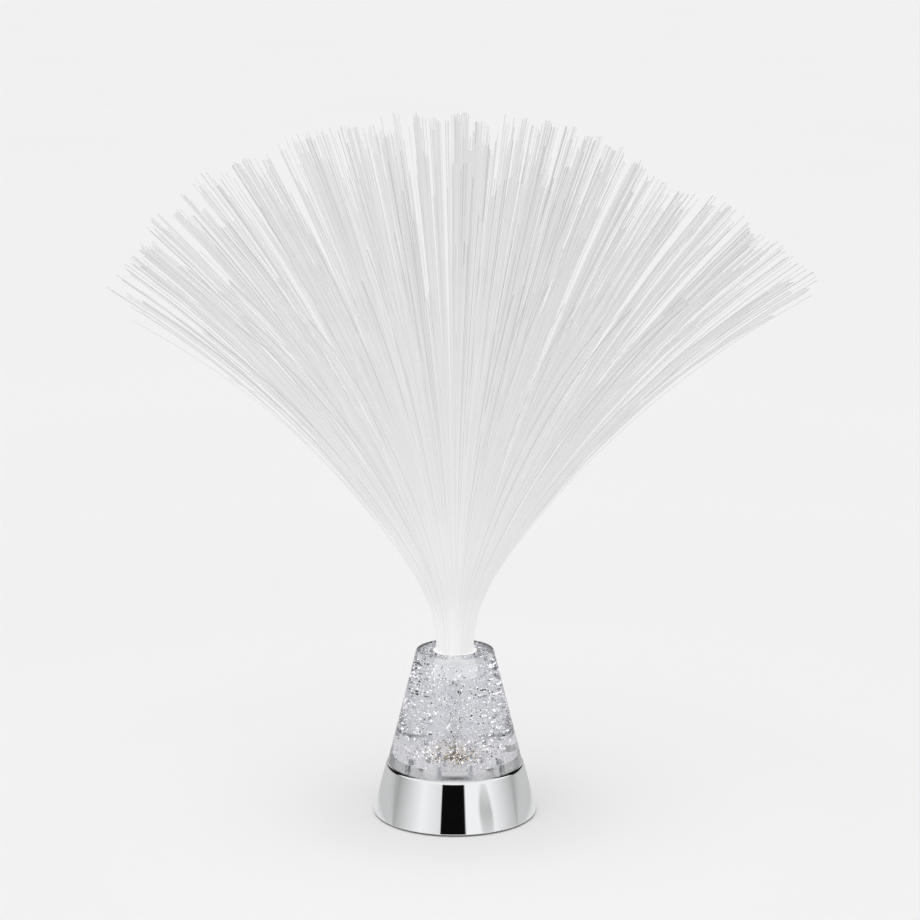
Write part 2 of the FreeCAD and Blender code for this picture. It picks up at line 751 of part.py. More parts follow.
def make_circuit_board():
    """The round board that hangs under the deck, with its LEDs facing up the tube."""
    body = new_body("circuit_board")
    raised(body, board_under, size["board_thickness"], circles=[(0, 0, size["board_radius"])])
    cut_up(body, board_under, size["board_thickness"], circles=drilled(board_screw_places, clear_radius))
    barrel = size["led_height"] - size["led_radius"]
    for colour, (x, y) in zip(("red", "green", "blue"), led_places):
        label = f"led_{colour}"
        flange = cylinder(
            f"{label}_flange", size["led_flange_radius"], size["led_flange_height"], x, y, board_top
        )
        stem = cylinder(f"{label}_stem", size["led_radius"], barrel, x, y, board_top)
        dome = doc.addObject("Part::Sphere", f"{label}_dome")
        bind(dome, "Radius", size["led_radius"])
        place(dome, x, y, board_top + barrel)
        as_piece(fused(f"{label}_whole", [flange, stem, dome]), label)
    x, y = around(size["board_radius"] - size["chip_edge"], size["chip_turn"])[0]
    chip = doc.addObject("Part::Cone", "controller_drop")
    bind(chip, "Radius1", size["chip_radius"])
    bind(chip, "Radius2", size["chip_top_radius"])
    bind(chip, "Height", size["chip_height"])
    place(chip, x, y, board_top)
    as_piece(chip, "controller_chip")
    body_size = (size["resistor_length"], size["resistor_width"], size["resistor_height"])
    distance = size["board_radius"] - size["resistor_edge"]
    places = around(distance, size["resistor_turn"], 3, size["resistor_step"])
    made = [
        block(f"resistor_{number}", body_size, x, y, board_top)
        for number, (x, y) in enumerate(places, 1)
    ]
    group("resistors", made)


# ---------------------------------------------------------------- glitter chamber


def make_cone_shell():
    """The clear cone, moulded in one with its rim and its socket tube, open from below."""
    body = new_body("cone_shell")
    foot, rim, wall = size["base_top"], size["cone_top"], size["cone_wall"]
    turned(
        body,
        [
            (cone_foot_radius, foot),
            (size["cone_top_radius"], rim),
            (socket_radius, rim),
            (socket_radius, sleeve_foot),
            (window_radius, sleeve_foot),
            (window_radius, foot),
            (tube_radius, foot),
            (tube_radius, chamber_roof),
            (cone_radius(chamber_roof) - wall, chamber_roof),
            (cone_foot_radius - wall, foot),
        ],
    )
    round_circles(body, size["rim_round"], [(size["cone_top_radius"], rim)])
    round_circles(body, size["mouth_round"], [(socket_radius, rim)])
    round_circles(body, size["cone_foot_round"], [(cone_foot_radius, foot)])


def make_chamber_floor():
    """The disc welded into the cone's foot, with a filling hole and blind screw holes."""
    body = new_body("chamber_floor")
    low, high = size["base_top"], chamber_floor_top
    inner = size["cone_wall"] + size["weld_gap"]
    hole = tube_radius + size["weld_gap"]
    turned(
        body,
        [
            (hole, low),
            (cone_radius(low) - inner, low),
            (cone_radius(high) - inner, high),
            (hole, high),
        ],
    )
    x, y = plug_place
    cut_up(body, low, size["floor_thickness"], circles=[(x, y, size["plug_radius"] + size["weld_gap"])])
    grip = size["chamber_screw_length"] - size["deck_thickness"] + size["weld_gap"]
    cut_up(body, low, grip, circles=drilled(chamber_screw_places, pilot_radius))


def make_filling():
    """The liquid that carries the glitter, and the stopper that keeps it in."""
    body = new_body("glitter_fluid")
    low, high = chamber_floor_top + size["weld_gap"], chamber_roof - size["weld_gap"]
    inner = size["cone_wall"] + size["weld_gap"]
    turned(
        body,
        [
            (tube_radius + size["weld_gap"], low),
            (cone_radius(low) - inner, low),
            (cone_radius(high) - inner, high),
            (tube_radius + size["weld_gap"], high),
        ],
    )
    x, y = plug_place
    stopper = cylinder("stopper", size["plug_radius"], size["floor_thickness"], x, y, size["base_top"])
    as_piece(stopper, "filler_plug")


# ---------------------------------------------------------------- fibre bundle


def make_bundle_holder():
    """The white sleeve that plugs into the cone, and the bundle's glued, polished foot."""
    body = new_body("bundle_sleeve")
    turned(
        body,
        [
            (sleeve_bore, sleeve_foot),
            (sleeve_radius, sleeve_foot),
            (sleeve_radius, sleeve_top),
            (sleeve_bore, sleeve_top),
        ],
    )
    round_circles(body, size["sleeve_round"], [(sleeve_radius, sleeve_top)])
    foot = cylinder(
        "bundle_foot",
        sleeve_bore - size["potting_gap"],
        size["potting_length"],
        as_size(0),
        as_size(0),
        sleeve_foot,
    )
    as_piece(foot, "bundle_potting")


def strand(distance, lean, reach):
    """One strand in the XZ plane: upright in the sleeve, then two tangent bends outwards."""
    start = Vector(distance, 0, strand_foot.value)
    rim = Vector(distance, 0, size["cone_top"].value)
    section = Part.Wire(Part.makeCircle(size["strand_diameter"].value / 2, start, Z_UP))
    if lean == 0:
        line = Part.LineSegment(start, rim + Z_UP * reach)
        return Part.Wire([line.toShape()]).makePipeShell([section], True, True)
    first, length = lean * size["bend_share"].value, size["bend_length"].value
    edges, spot = [Part.LineSegment(start, rim).toShape()], rim
    for begin, end, run in ((0, first, length), (first, lean, reach - length)):
        radius = run / (end - begin)
        corners = [
            spot
            + Vector(
                radius * (math.cos(begin) - math.cos(angle)),
                0,
                radius * (math.sin(angle) - math.sin(begin)),
            )
            for angle in (begin, (begin + end) / 2, end)
        ]
        edges.append(Part.Arc(*corners).toShape())
        spot = corners[2]
    return Part.Wire(edges).makePipeShell([section], True, True)


def make_strands():
    """Rings of strands that lean out more the further they stand from the middle."""
    for ring in range(RINGS + 1):
        count = max(1, 6 * ring)
        distance = ring * size["strand_pitch"].value
        lean = math.radians(size["tip_lean"].value) * ring / RINGS
        made = []
        for number in range(count):
            # opposite strands are alike, so the spray stays even about the middle
            step = (number % max(1, count // 2)) * 2 % 3
            reach = size["fibre_reach"].value - step * size["tip_stagger"].value
            shape = strand(distance, lean, reach)
            shape.rotate(Vector(0, 0, 0), Z_UP, 360 * number / count)
            made.append(shape)
        label = f"fibre_ring_{ring}" if ring else "fibre_core"
        shaped(label, Part.makeCompound(made) if len(made) > 1 else made[0])


# ---------------------------------------------------------------- wires


def wire_along(label, route):
    """An insulated wire along straight runs joined by bends as wide as the runs allow."""
    spots = [Vector(*(as_size(number).value for number in spot)) for spot in route]
    edges, start, tightest = [], spots[0], None
    for before, corner, after in zip(spots, spots[1:], spots[2:]):
        towards, onwards = (corner - before), (after - corner)
        turn = towards.getAngle(onwards)
        setback = size["wire_bend"].value * min(towards.Length, onwards.Length)
        radius = setback / math.tan(turn / 2)
        tightest = min(radius, tightest or radius)
        enter = corner - towards.normalize() * setback
        leave = corner + onwards.normalize() * setback
        bisector = (onwards - towards).normalize()
        middle = corner + bisector * (radius / math.cos(turn / 2) - radius)
        edges.append(Part.LineSegment(start, enter).toShape())
        edges.append(Part.Arc(enter, middle, leave).toShape())
        start = leave
    edges.append(Part.LineSegment(start, spots[-1]).toShape())
    path = Part.Wire(edges)
    direction = (spots[1] - spots[0]).normalize()
    section = Part.Wire(Part.makeCircle(size["wire_diameter"].value / 2, spots[0], direction))
    tube = path.makePipeShell([section], True, True)
    volume = math.pi * (size["wire_diameter"].value / 2) ** 2 * path.Length
    if abs(tube.Volume / volume - 1) > 0.01:
        raise RuntimeError(f"{label} is not its section times its length")
    print(f"{label}: {path.Length:.1f} mm long, tightest bend {tightest:.1f} mm")
    shaped(label, tube)


def make_wires():
    """Battery to switch, switch to board, and battery to board."""
    thick, gap = size["wire_diameter"], size["wire_gap"]
    tab_y = box_half_length - size["contact_thickness"] + size["tab_reach"] - thick / 2
    tab_top = tab_level + size["contact_thickness"] + gap
    lug_top = lug_level + size["lug_height"] + gap
    pad_top = board_top + gap
    over_box = box_top + 2 * thick
    over_board = board_top + 2 * thick
    lug_x, lug_y = switch_x, size["lug_pitch"]
    pad = size["board_radius"] - thick
    beside = box_half_width + 2 * thick
    plus, minus = cell_places[0], cell_places[2]
    wire_along(
        "wire_red",
        [
            (plus, tab_y, tab_top),
            (plus, tab_y, over_box),
            (plus + size["cell_radius"], tab_y - size["cell_radius"], over_board),
            (minus, beside, over_board),
            (beside, minus, over_board),
            (lug_x, lug_y, over_box + thick),
            (lug_x, lug_y, lug_top),
        ],
    )
    wire_along(
        "wire_white",
        [
            (lug_x, as_size(0), lug_top),
            (lug_x, as_size(0), over_box + thick),
            (beside, -size["lug_pitch"], over_board),
            (pad, as_size(0), over_board + thick),
            (pad, as_size(0), pad_top),
        ],
    )
    wire_along(
        "wire_black",
        [
            (minus, -tab_y, tab_top),
            (minus, -tab_y, over_box),
            (minus, -beside, over_board),
            (as_size(0), -pad, over_board + thick),
            (as_size(0), -pad, pad_top),
        ],
    )


# ---------------------------------------------------------------- the lamp

make_base_shell()
make_base_plate()
make_battery_door()
make_feet()
make_screws()
make_cells()
make_springs()
make_contacts()
make_switch()
make_circuit_board()
make_cone_shell()
make_chamber_floor()
make_filling()
make_bundle_holder()
make_strands()
make_wires()
doc.recompute()

for thing in doc.Objects:
    if "Invalid" in thing.State or "Error" in thing.State:
        raise RuntimeError(f"{thing.Label} did not build: {thing.State}")
for piece in pieces:
    if piece.Shape.isNull() or not piece.Shape.isValid() or not piece.Shape.Solids:
        raise RuntimeError(f"{piece.Label} has no valid solid")

os.makedirs("parts", exist_ok=True)
for piece in pieces:
    piece.Shape.exportStep(f"parts/{piece.Label}.step")
print(len(pieces), "pieces,", sum(len(piece.Shape.Solids) for piece in pieces), "solids")
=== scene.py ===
import bpy
import math
import numpy as np
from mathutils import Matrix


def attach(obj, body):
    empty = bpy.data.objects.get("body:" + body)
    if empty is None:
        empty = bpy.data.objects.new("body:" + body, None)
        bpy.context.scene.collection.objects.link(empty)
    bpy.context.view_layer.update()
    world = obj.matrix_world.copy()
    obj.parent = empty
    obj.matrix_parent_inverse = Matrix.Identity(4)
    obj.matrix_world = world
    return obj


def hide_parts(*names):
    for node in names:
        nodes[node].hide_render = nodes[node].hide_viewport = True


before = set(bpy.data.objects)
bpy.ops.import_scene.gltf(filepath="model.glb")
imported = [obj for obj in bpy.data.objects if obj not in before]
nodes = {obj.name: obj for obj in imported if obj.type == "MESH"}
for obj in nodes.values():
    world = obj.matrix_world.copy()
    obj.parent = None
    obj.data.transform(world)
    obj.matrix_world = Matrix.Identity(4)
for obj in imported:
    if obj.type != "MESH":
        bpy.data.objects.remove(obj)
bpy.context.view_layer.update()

# ---------------------------------------------------------------- camera
# The lamp stands on a table and is seen from a little above, through a long lens about
# 1.4 m away. It stands a few dots to the left of the middle.
eye = bpy.data.objects.new("camera", bpy.data.cameras.new("camera"))
bpy.context.scene.collection.objects.link(eye)
looks_down = 12.497  # degrees
eye.location = (0, -1.3503, 0.4717)
eye.rotation_euler = (math.radians(90 - looks_down), 0, 0)
eye.data.sensor_width = 36
eye.data.lens = 115.49
eye.data.shift_x = 5 / 920
eye.data.clip_start = 0.05
bpy.context.scene.camera = eye
bpy.context.scene.view_settings.view_transform = "Standard"

# ---------------------------------------------------------------- studio
# A white table under soft light from all round, with one broad lamp high up in front. Metal
# mirrors white panels with dark gaps between them, and glass shows the pale wall behind it.


def tint(red, green=None, blue=None):
    """A colour as a screen shows it, from 0 to 255, as linear red, green, blue and alpha."""
    shown = [red, red if green is None else green, red if blue is None else blue]
    return (*[((v / 255 + 0.055) / 1.055) ** 2.4 if v > 10 else v / 3295 for v in shown], 1.0)


def share(red, green=None, blue=None):
    """A plain part of 1 for each of red, green and blue, with alpha."""
    return (red, red if green is None else green, red if blue is None else blue, 1.0)


def node(tree, kind, *inputs, out=0, **settings):
    """Adds a shader node with its settings, fills its inputs in order, and returns one output."""
    made = tree.nodes.new("ShaderNode" + kind)
    for name, value in settings.items():
        setattr(made, name, value)
    for socket, value in zip(made.inputs, inputs):
        if isinstance(value, bpy.types.NodeSocket):
            tree.links.new(value, socket)
        elif value is not None:
            socket.default_value = value
    return made.outputs[out]


def sums(tree, operation, *inputs, **settings):
    """One step of arithmetic on numbers."""
    return node(tree, "Math", *inputs, operation=operation, **settings)


def between(tree, value, low, high, first=0.0, last=1.0):
    """Goes evenly from a first to a last number while the value goes from low to high."""
    return node(tree, "MapRange", value, low, high, first, last)


def ramp(tree, factor, stops):
    """A colour band through (place, colour) stops."""
    colour = node(tree, "ValToRGB", factor)
    band = colour.node.color_ramp
    for number, (place, value) in enumerate(stops):
        stop = band.elements[number] if number < 2 else band.elements.new(place)
        stop.position, stop.color = place, value
    return colour


scene_light = bpy.data.worlds.new("studio_light")
bpy.context.scene.world = scene_light
scene_light.use_nodes = True
sky = scene_light.node_tree
sky.nodes.clear()
towards = node(sky, "TexCoord")
across, depth, height = (
    node(sky, "SeparateXYZ", towards.node.outputs["Generated"], out=number) for number in range(3)
)
to_degrees = 180 / math.pi
turn = sums(sky, "ARCTAN2", across, sums(sky, "MULTIPLY", depth, -1.0))
turn = sums(sky, "MULTIPLY", turn, to_degrees)
rise = sums(sky, "MULTIPLY", sums(sky, "ARCSINE", height), to_degrees)
# what stands round the lamp, in degrees from the camera's side, positive to the right
panels = [
    (-180, tint(190)),
    (-100, tint(165)),
    (-50, tint(250)),
    (-21, tint(230)),
    (-20, tint(12)),
    (14, tint(12)),
    (16, tint(250)),
    (55, tint(250)),
    (105, tint(175)),
    (180, tint(190)),
]
round_wall = ramp(
    sky,
    between(sky, turn, -180.0, 180.0),
    [((place + 180) / 360, colour) for place, colour in panels],
)
# one slim grey leaf-shaped shade hangs aslant in front of the right-hand panel, paler at both ends
leaf_place, leaf_rise, leaf_slant, leaf_half_height = 46.5, 7.42, 0.103, 0.66
aside = sums(sky, "ADD", turn, -leaf_place)
above = sums(sky, "ADD", sums(sky, "MULTIPLY_ADD", aside, leaf_slant, -leaf_rise), rise)
leaf_up = sums(sky, "DIVIDE", above, leaf_half_height)
leaf_width = between(sky, leaf_up, -1.0, 1.0, 14.5, 7.0)
leaf_across = sums(sky, "POWER", sums(sky, "DIVIDE", aside, leaf_width), 2.0)
leaf_spread = sums(sky, "ADD", sums(sky, "POWER", leaf_up, 2.0), leaf_across)
leaf = between(sky, leaf_spread, 0.55, 1.15, 1.0, 0.0)
leaf_colour = ramp(
    sky,
    between(sky, leaf_up, -1.0, 1.0),
    [(0.0, tint(230)), (0.5, tint(190)), (1.0, tint(230))],
)
round_wall = node(sky, "MixRGB", leaf, round_wall, leaf_colour)
ceiling = between(sky, rise, 16.0, 22.0)
overhead = node(sky, "MixRGB", between(sky, rise, 48.0, 60.0), tint(248), tint(246))
mirrored = node(sky, "MixRGB", ceiling, round_wall, overhead)
# a black flag hangs behind on each side, above the table and below the ceiling
to_back = between(sky, sums(sky, "ABSOLUTE", turn), 0.0, 180.0)
flag = ramp(
    sky,
    to_back,
    [(0.0, share(0)), (0.6, share(0)), (0.62, share(1)), (0.84, share(1)), (0.87, share(0))],
)
flag = sums(sky, "MULTIPLY", flag, between(sky, rise, 8.0, 10.0))
flag = sums(sky, "MULTIPLY", flag, between(sky, rise, 60.0, 50.0))
mirrored = node(sky, "MixRGB", flag, mirrored, tint(14))
# through glass: the pale wall at eye level, greyer above, and the dark gap in front
through = ramp(
    sky,
    between(sky, rise, -10.0, 80.0),
    [
        (0.0, tint(222)),
        (0.3, tint(216)),
        (0.45, tint(204, 205, 208)),
        (0.55, tint(182, 183, 189)),
        (0.68, tint(194, 195, 198)),
        (1.0, tint(206)),
    ],
)
front_gap = ramp(
    sky,
    to_back,
    [
        (0.0, tint(60)),
        (0.08, tint(60)),
        (0.10, tint(250)),
        (0.42, tint(245)),
        (0.47, tint(124, 128, 142)),
        (0.62, tint(134, 138, 150)),
        (0.68, tint(240)),
        (1.0, tint(245)),
    ],
)
through = node(sky, "MixRGB", 1.0, through, front_gap, blend_type="DARKEN")
ray = node(sky, "LightPath").node.outputs
light = node(sky, "MixRGB", ray["Is Glossy Ray"], tint(211), mirrored)
light = node(sky, "MixRGB", ray["Is Transmission Ray"], light, through)
# what lights the matt pieces inside the glass is the plain light again
from_matt = sums(sky, "GREATER_THAN", ray["Diffuse Depth"], 0.5)
light = node(sky, "MixRGB", from_matt, light, tint(211))
light = node(sky, "MixRGB", ray["Is Camera Ray"], light, tint(240))
surround = node(sky, "Background", light, 1.0)
world_out = sky.nodes.new("ShaderNodeOutputWorld")
sky.links.new(surround, world_out.inputs["Surface"])

lamp = bpy.data.objects.new("broad_lamp", bpy.data.lights.new("broad_lamp", "SUN"))
bpy.context.scene.collection.objects.link(lamp)
lamp.data.energy = 1.15
lamp.data.angle = math.radians(50)
lamp.rotation_euler = (math.radians(14), 0, math.radians(-8))
lamp.visible_glossy = False
lamp.visible_transmission = False
# light crosses a dozen clear walls of the lamp's foot, so it may bounce many times
bpy.context.scene.cycles.max_bounces = 32
bpy.context.scene.cycles.transmission_bounces = 32
bpy.context.scene.cycles.glossy_bounces = 12
bpy.context.scene.cycles.diffuse_bounces = 8


def finish(name, colour, roughness, **sockets):
    """A surface finish with its plain values on the shader itself."""
    made = bpy.data.materials.new(name)
    made.use_nodes = True
    shader = made.node_tree.nodes["Principled BSDF"]
    shader.inputs["Base Color"].default_value = colour
    shader.inputs["Roughness"].default_value = roughness
    for socket, value in sockets.items():
        shader.inputs[socket.replace("_", " ")].default_value = value
    return made


def surface(made, grain, colours=None, roughness=None, bump=0.0, detail=3.0, stretch=(1, 1, 1)):
    """Mottles a finish with grain of a size in millimetres: its colour, roughness and height."""
    tree = made.node_tree
    shader = tree.nodes["Principled BSDF"]
    where = node(tree, "TexCoord").node.outputs["Object"]
    where = node(tree, "Mapping", where, None, None, stretch)
    cloud = node(tree, "TexNoise", where, None, 1000 / grain, detail, 0.55)
    if colours:
        mottle = ramp(tree, cloud, [(0.3, colours[0]), (0.7, colours[1])])
        tree.links.new(mottle, shader.inputs["Base Color"])
    if roughness:
        tree.links.new(between(tree, cloud, 0.3, 0.7, *roughness), shader.inputs["Roughness"])
    if bump:
        bumps = tree.nodes.new("ShaderNodeBump")
        bumps.inputs["Strength"].default_value = 1.0
        bumps.inputs["Distance"].default_value = bump / 1000
        tree.links.new(cloud, bumps.inputs["Height"])
        tree.links.new(bumps.outputs["Normal"], shader.inputs["Normal"])
    return made


def dress(names, made):
    """Gives a finish to pieces of the frame."""
    for name in names:
        for slot in nodes[name].material_slots:
            slot.material = made


table = bpy.data.meshes.new("table")
side, back = 6, 9  # metres
table_corners = [(-side, -side, 0), (side, -side, 0), (side, back, 0), (-side, back, 0)]
table.from_pydata(table_corners, [], [(0, 1, 2, 3)])
table_top = bpy.data.objects.new("table", table)
bpy.context.scene.collection.objects.link(table_top)
white_table = surface(
    finish("white_table", tint(240), 0.9, Specular_IOR_Level=0.0),
    400,
    (tint(239.5), tint(240.5)),
)
table.materials.append(white_table)
# painted shade: seen in metal the table is painted grey, white at the lamp's foot and darker further off,
# and seen through the clear cone it is painted a flat grey
tree = white_table.node_tree
table_colour = tree.nodes["Principled BSDF"].inputs["Base Color"]
ray = node(tree, "LightPath").node.outputs
in_metal = sums(tree, "SUBTRACT", ray["Is Glossy Ray"], ray["Is Transmission Ray"], use_clamp=True)
spot = node(tree, "TexCoord").node.outputs["Object"]
far_off = node(tree, "VectorMath", spot, operation="LENGTH", out=1)
table_painted_grey_in_metal = ramp(tree, far_off, [(0.04, tint(240)), (0.07, tint(200)), (0.8, tint(175))])
# painted shade: its white is painted a little lower round the lamp, where the spray's glow falls on it
painted_shade_round_lamp = ramp(
    tree,
    far_off,
    [
        (0.05, share(0.93)),
        (0.09, share(0.95)),
        (0.14, share(0.945)),
        (0.2, share(0.93)),
        (0.38, share(0.945)),
        (0.65, share(0.985)),
        (1.0, share(1.0)),
    ],
)
mottle = table_colour.links[0].from_socket
table_white_with_painted_shade = node(tree, "MixRGB", 1.0, mottle, painted_shade_round_lamp, blend_type="MULTIPLY")
table_painted_grey_in_glass = node(tree, "MixRGB", ray["Is Transmission Ray"], table_white_with_painted_shade, tint(204, 205, 207))
tree.links.new(node(tree, "MixRGB", in_metal, table_painted_grey_in_glass, table_painted_grey_in_metal), table_colour)

# ---------------------------------------------------------------- chrome shell
# A tapered skirt, a rounded shoulder and a flat deck, moulded in styrene and plated bright.
# The deck's window lets the LEDs' light up into the fibres.


def turned(name, *outlines, steps=6, around=256):
    """A piece turned about the middle from closed outlines of (radius, height, round) corners in
    millimetres, anticlockwise with the radius to the right, or clockwise round a hollow inside.
    Its normals are exact, and each outline's faces take the next of its materials."""
    places, normals, faces, finishes = [], [], [], []
    turns = np.arange(around) * 2 * math.pi / around
    ring = np.stack([np.cos(turns), np.sin(turns)], 1)[:, None]
    for made_of, corners in enumerate(outlines):
        spots, facing = [], []
        for number, (r, z, rounding) in enumerate(corners):
            here = np.array([r, z], float)
            before = here - np.array(corners[number - 1][:2], float)
            after = np.array(corners[(number + 1) % len(corners)][:2], float) - here
            before, after = before / np.linalg.norm(before), after / np.linalg.norm(after)
            bend = math.atan2(before[0] * after[1] - before[1] * after[0], before @ after)
            side = math.copysign(1, bend)
            left = np.array([-before[1], before[0]])
            middle = here - before * rounding * math.tan(abs(bend) / 2) + left * side * rounding
            for angle in np.linspace(0, bend, steps + 1):
                cosine, sine = math.cos(angle), math.sin(angle)
                out = -np.array([[cosine, -sine], [sine, cosine]]) @ left
                spots.append(middle + side * rounding * out)
                facing.append(out)
        first, many = sum(len(part) for part in places), len(spots)
        for kept, values in ((places, np.array(spots) / 1000), (normals, np.array(facing))):
            upright = np.broadcast_to(values[None, :, 1:], (around, many, 1))
            kept.append(np.concatenate([ring * values[None, :, :1], upright], 2).reshape(-1, 3))
        a = (np.arange(around)[:, None] * many + np.arange(many)[None, :]).ravel()
        b = (np.arange(around)[:, None] * many + (np.arange(many)[None, :] + 1) % many).ravel()
        c, d = (b + many) % (around * many), (a + many) % (around * many)
        faces.append(first + np.stack([a, d, c, b], 1))
        finishes += [made_of] * len(a)
    mesh = bpy.data.meshes.new(name)
    mesh.from_pydata(np.concatenate(places).tolist(), [], np.concatenate(faces).tolist())
    mesh.polygons.foreach_set("use_smooth", [True] * len(mesh.polygons))
    mesh.polygons.foreach_set("material_index", finishes)
    mesh.normals_split_custom_set_from_vertices(np.concatenate(normals).tolist())
    made = bpy.data.objects.new(name, mesh)
    bpy.context.scene.collection.objects.link(made)
    return made


# sizes of pieces are in millimetres and heights are above the table; a finish that asks how far
# away or how high a spot is counts in metres
skirt_radius, skirt_foot, deck, deck_under = 39.0, 0.8, 25.0, 23.0
rim_radius, rim = 18.4, 80.3  # of the clear cone
wall, window = 1.8, 9.7
slope = (skirt_radius - rim_radius) / (rim - skirt_foot)  # the taper, outwards per height
chrome = surface(
    finish("bright_chrome", tint(243, 244, 245), 0.02, Metallic=1.0),
    1.6,
    roughness=(0.015, 0.035),
    bump=0.0004,
)
shell = turned(
    "chrome_shell",
    [
        (window, deck_under, 0.1),
        (skirt_radius - slope * (deck_under - skirt_foot) - wall, deck_under, 0.1),
        (skirt_radius - wall, skirt_foot, 0.15),
        (skirt_radius, skirt_foot, 0.4),
        (skirt_radius - slope * (deck - skirt_foot), deck, 1.9),
        (window, deck, 0.1),
    ],
)
shell.data.materials.append(chrome)
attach(shell, "base")
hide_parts("base_shell")

# ---------------------------------------------------------------- underside plate and battery door
# Black styrene mouldings with a fine spark-eroded texture. Four screws hold the plate in the
# shell, and one screw holds the door.
black_moulding = surface(
    finish("black_moulding", tint(30), 0.5, Specular_IOR_Level=0.4),
    0.35,
    (tint(26, 26, 27), tint(36, 36, 37)),
    (0.42, 0.6),
    bump=0.02,
)
dress(["base_plate", "battery_door"], black_moulding)

# ---------------------------------------------------------------- feet
# Four short round pads of moulded black rubber, pressed into round recesses of the plate, so that
# the lamp doesn't slip.
dress(
    ["foot_pads"],
    surface(
        finish("foot_rubber", tint(42), 0.85),
        0.6,
        (tint(38, 38, 39), tint(52, 51, 50)),
        (0.75, 0.95),
        bump=0.03,
    ),
)

# ---------------------------------------------------------------- screws
# Small self-tapping screws with crossed recesses, in zinc-plated steel. The three under the
# clear cone show through it; their finish is painted much brighter, painted light that makes up for the
# little light reaching them inside the glass.
dress(
    ["chamber_screws"],
    surface(
        finish("screw_steel_painted_bright", tint(244, 245, 248), 0.4, Metallic=1.0),
        0.5,
        (tint(236, 238, 242), tint(250)),
        (0.35, 0.5),
    ),
)
dress(
    ["plate_screws", "board_screws", "door_screw"],
    surface(
        finish("zinc_plated_steel", tint(196, 198, 202), 0.32, Metallic=1.0),
        0.5,
        (tint(184, 188, 196), tint(208, 206, 196)),
        (0.24, 0.42),
        bump=0.006,
    ),
)

# ---------------------------------------------------------------- cells and contacts
# Three AAA cells in plain wrapped jackets, side by side in the battery box. Their contacts stand
# at the box's ends, wound and pressed from steel wire and sheet and plated with nickel.
cell_wrap = surface(
    finish("cell_wrap", tint(58, 60, 66), 0.3, Metallic=0.6, Coat_Weight=0.6),
    2.5,
    (tint(50, 53, 60), tint(64, 66, 72)),
    (0.26, 0.36),
    stretch=(1, 0.15, 1),
)
dress(["battery_1", "battery_2", "battery_3"], cell_wrap)
springs = [f"contact_spring_{number}" for number in (1, 2, 3)]
dress(
    springs + ["terminal_plus", "terminal_minus", "bridge_plate_1", "bridge_plate_2"],
    surface(
        finish("nickel_plated_steel", tint(190, 186, 176), 0.3, Metallic=1.0),
        0.8,
        (tint(180, 176, 166), tint(202, 199, 190)),
        (0.22, 0.4),
    ),
)

# ---------------------------------------------------------------- slide switch
# A case folded from tinned sheet steel that sits on the plate, with solder lugs on its back. The
# knob is black nylon, slides in the case and stands through a slot of the plate.
dress(
    ["switch_case"],
    surface(
        finish("tinned_sheet", tint(186, 188, 190), 0.38, Metallic=1.0),
        1.2,
        (tint(172, 175, 178), tint(198, 199, 199)),
        (0.3, 0.48),
    ),
)
dress(
    ["switch_knob"],
    surface(
        finish("knob_nylon", tint(32), 0.45),
        0.4,
        (tint(28), tint(38)),
        (0.38, 0.55),
        bump=0.02,
        stretch=(1, 6, 1),
    ),
)

# ---------------------------------------------------------------- circuit board
# A round brown board with three LEDs, a drop of black epoxy over its controller, and three
# small resistors, hung under the deck from three posts.
dress(
    ["circuit_board"],
    surface(
        finish("brown_laminate", tint(172, 146, 100), 0.45),
        1.4,
        (tint(160, 132, 88), tint(184, 160, 114)),
        (0.38, 0.55),
        stretch=(1, 4, 1),
    ),
)
for name, colour in (
    ("red", tint(236, 214, 208)),
    ("green", tint(212, 232, 214)),
    ("blue", tint(208, 216, 238)),
):
    dress(
        [f"led_{name}"],
        surface(
            finish(f"{name}_led_lens", colour, 0.12, IOR=1.54, Transmission_Weight=0.4, Coat_Weight=0.5),
            3.0,
            roughness=(0.05, 0.12),
        ),
    )
dress(
    ["controller_chip", "resistors"],
    surface(
        finish("black_epoxy", tint(20), 0.35),
        0.7,
        (tint(15), tint(28)),
        (0.28, 0.42),
        bump=0.01,
    ),
)

# ---------------------------------------------------------------- wires
# Thin stranded copper wires in soft red, white and black sleeving, soldered to the battery
# contacts, the switch and the board.
for name, dark, pale in (
    ("red", tint(150, 22, 18), tint(178, 34, 26)),
    ("white", tint(210, 209, 204), tint(226, 225, 220)),
    ("black", tint(24), tint(36)),
):
    sleeving = surface(finish(f"{name}_sleeving", pale, 0.45), 0.8, (dark, pale), (0.4, 0.55))
    dress([f"wire_{name}"], sleeving)

# ---------------------------------------------------------------- clear cone
# One injection-moulded piece of clear polystyrene: the wall, the thick rim and the socket tube
# in its middle. The walls of its chamber are wet with the liquid, so they hardly bend the light.
polystyrene, water = 1.49, 1.333  # how strongly each bends light
clear_plastic = surface(
    finish("clear_polystyrene", share(1), 0.0, IOR=polystyrene, Transmission_Weight=1.0),
    22.0,
    bump=0.002,
    detail=0.0,
)
wet_plastic = surface(
    finish("wet_polystyrene", share(1), 0.0, IOR=polystyrene / water, Transmission_Weight=1.0),
    22.0,
    bump=0.002,
    detail=0.0,
)
cone_slope = 0.24826  # a little steeper than the shell, outwards per height
cone_foot = 32.129
socket, socket_floor, bore = 10.5, 68.0, 7.2
tube, cone_wall = 11.8, 2.0
chamber_foot, chamber_top = 29.0, 77.3


def cone_side(height):
    """The radius of the cone's outside."""
    return cone_foot - cone_slope * (height - deck)


cone = turned(
    "clear_cone",
    [
        (cone_foot, deck + 0.05, 0.4),
        (rim_radius, rim, 0.8),
        (socket, rim, 0.4),
        (socket, socket_floor, 0.1),
        (bore, socket_floor, 0.1),
        (bore, deck + 0.05, 0.1),
    ],
    [
        (tube, chamber_foot, 0.1),
        (tube, chamber_top, 0.5),
        (cone_side(chamber_top) - cone_wall, chamber_top, 0.5),
        (cone_side(chamber_foot) - cone_wall, chamber_foot, 0.1),
    ],
)
cone.data.materials.append(clear_plastic)
cone.data.materials.append(wet_plastic)
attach(cone, "base")
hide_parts("cone_shell")

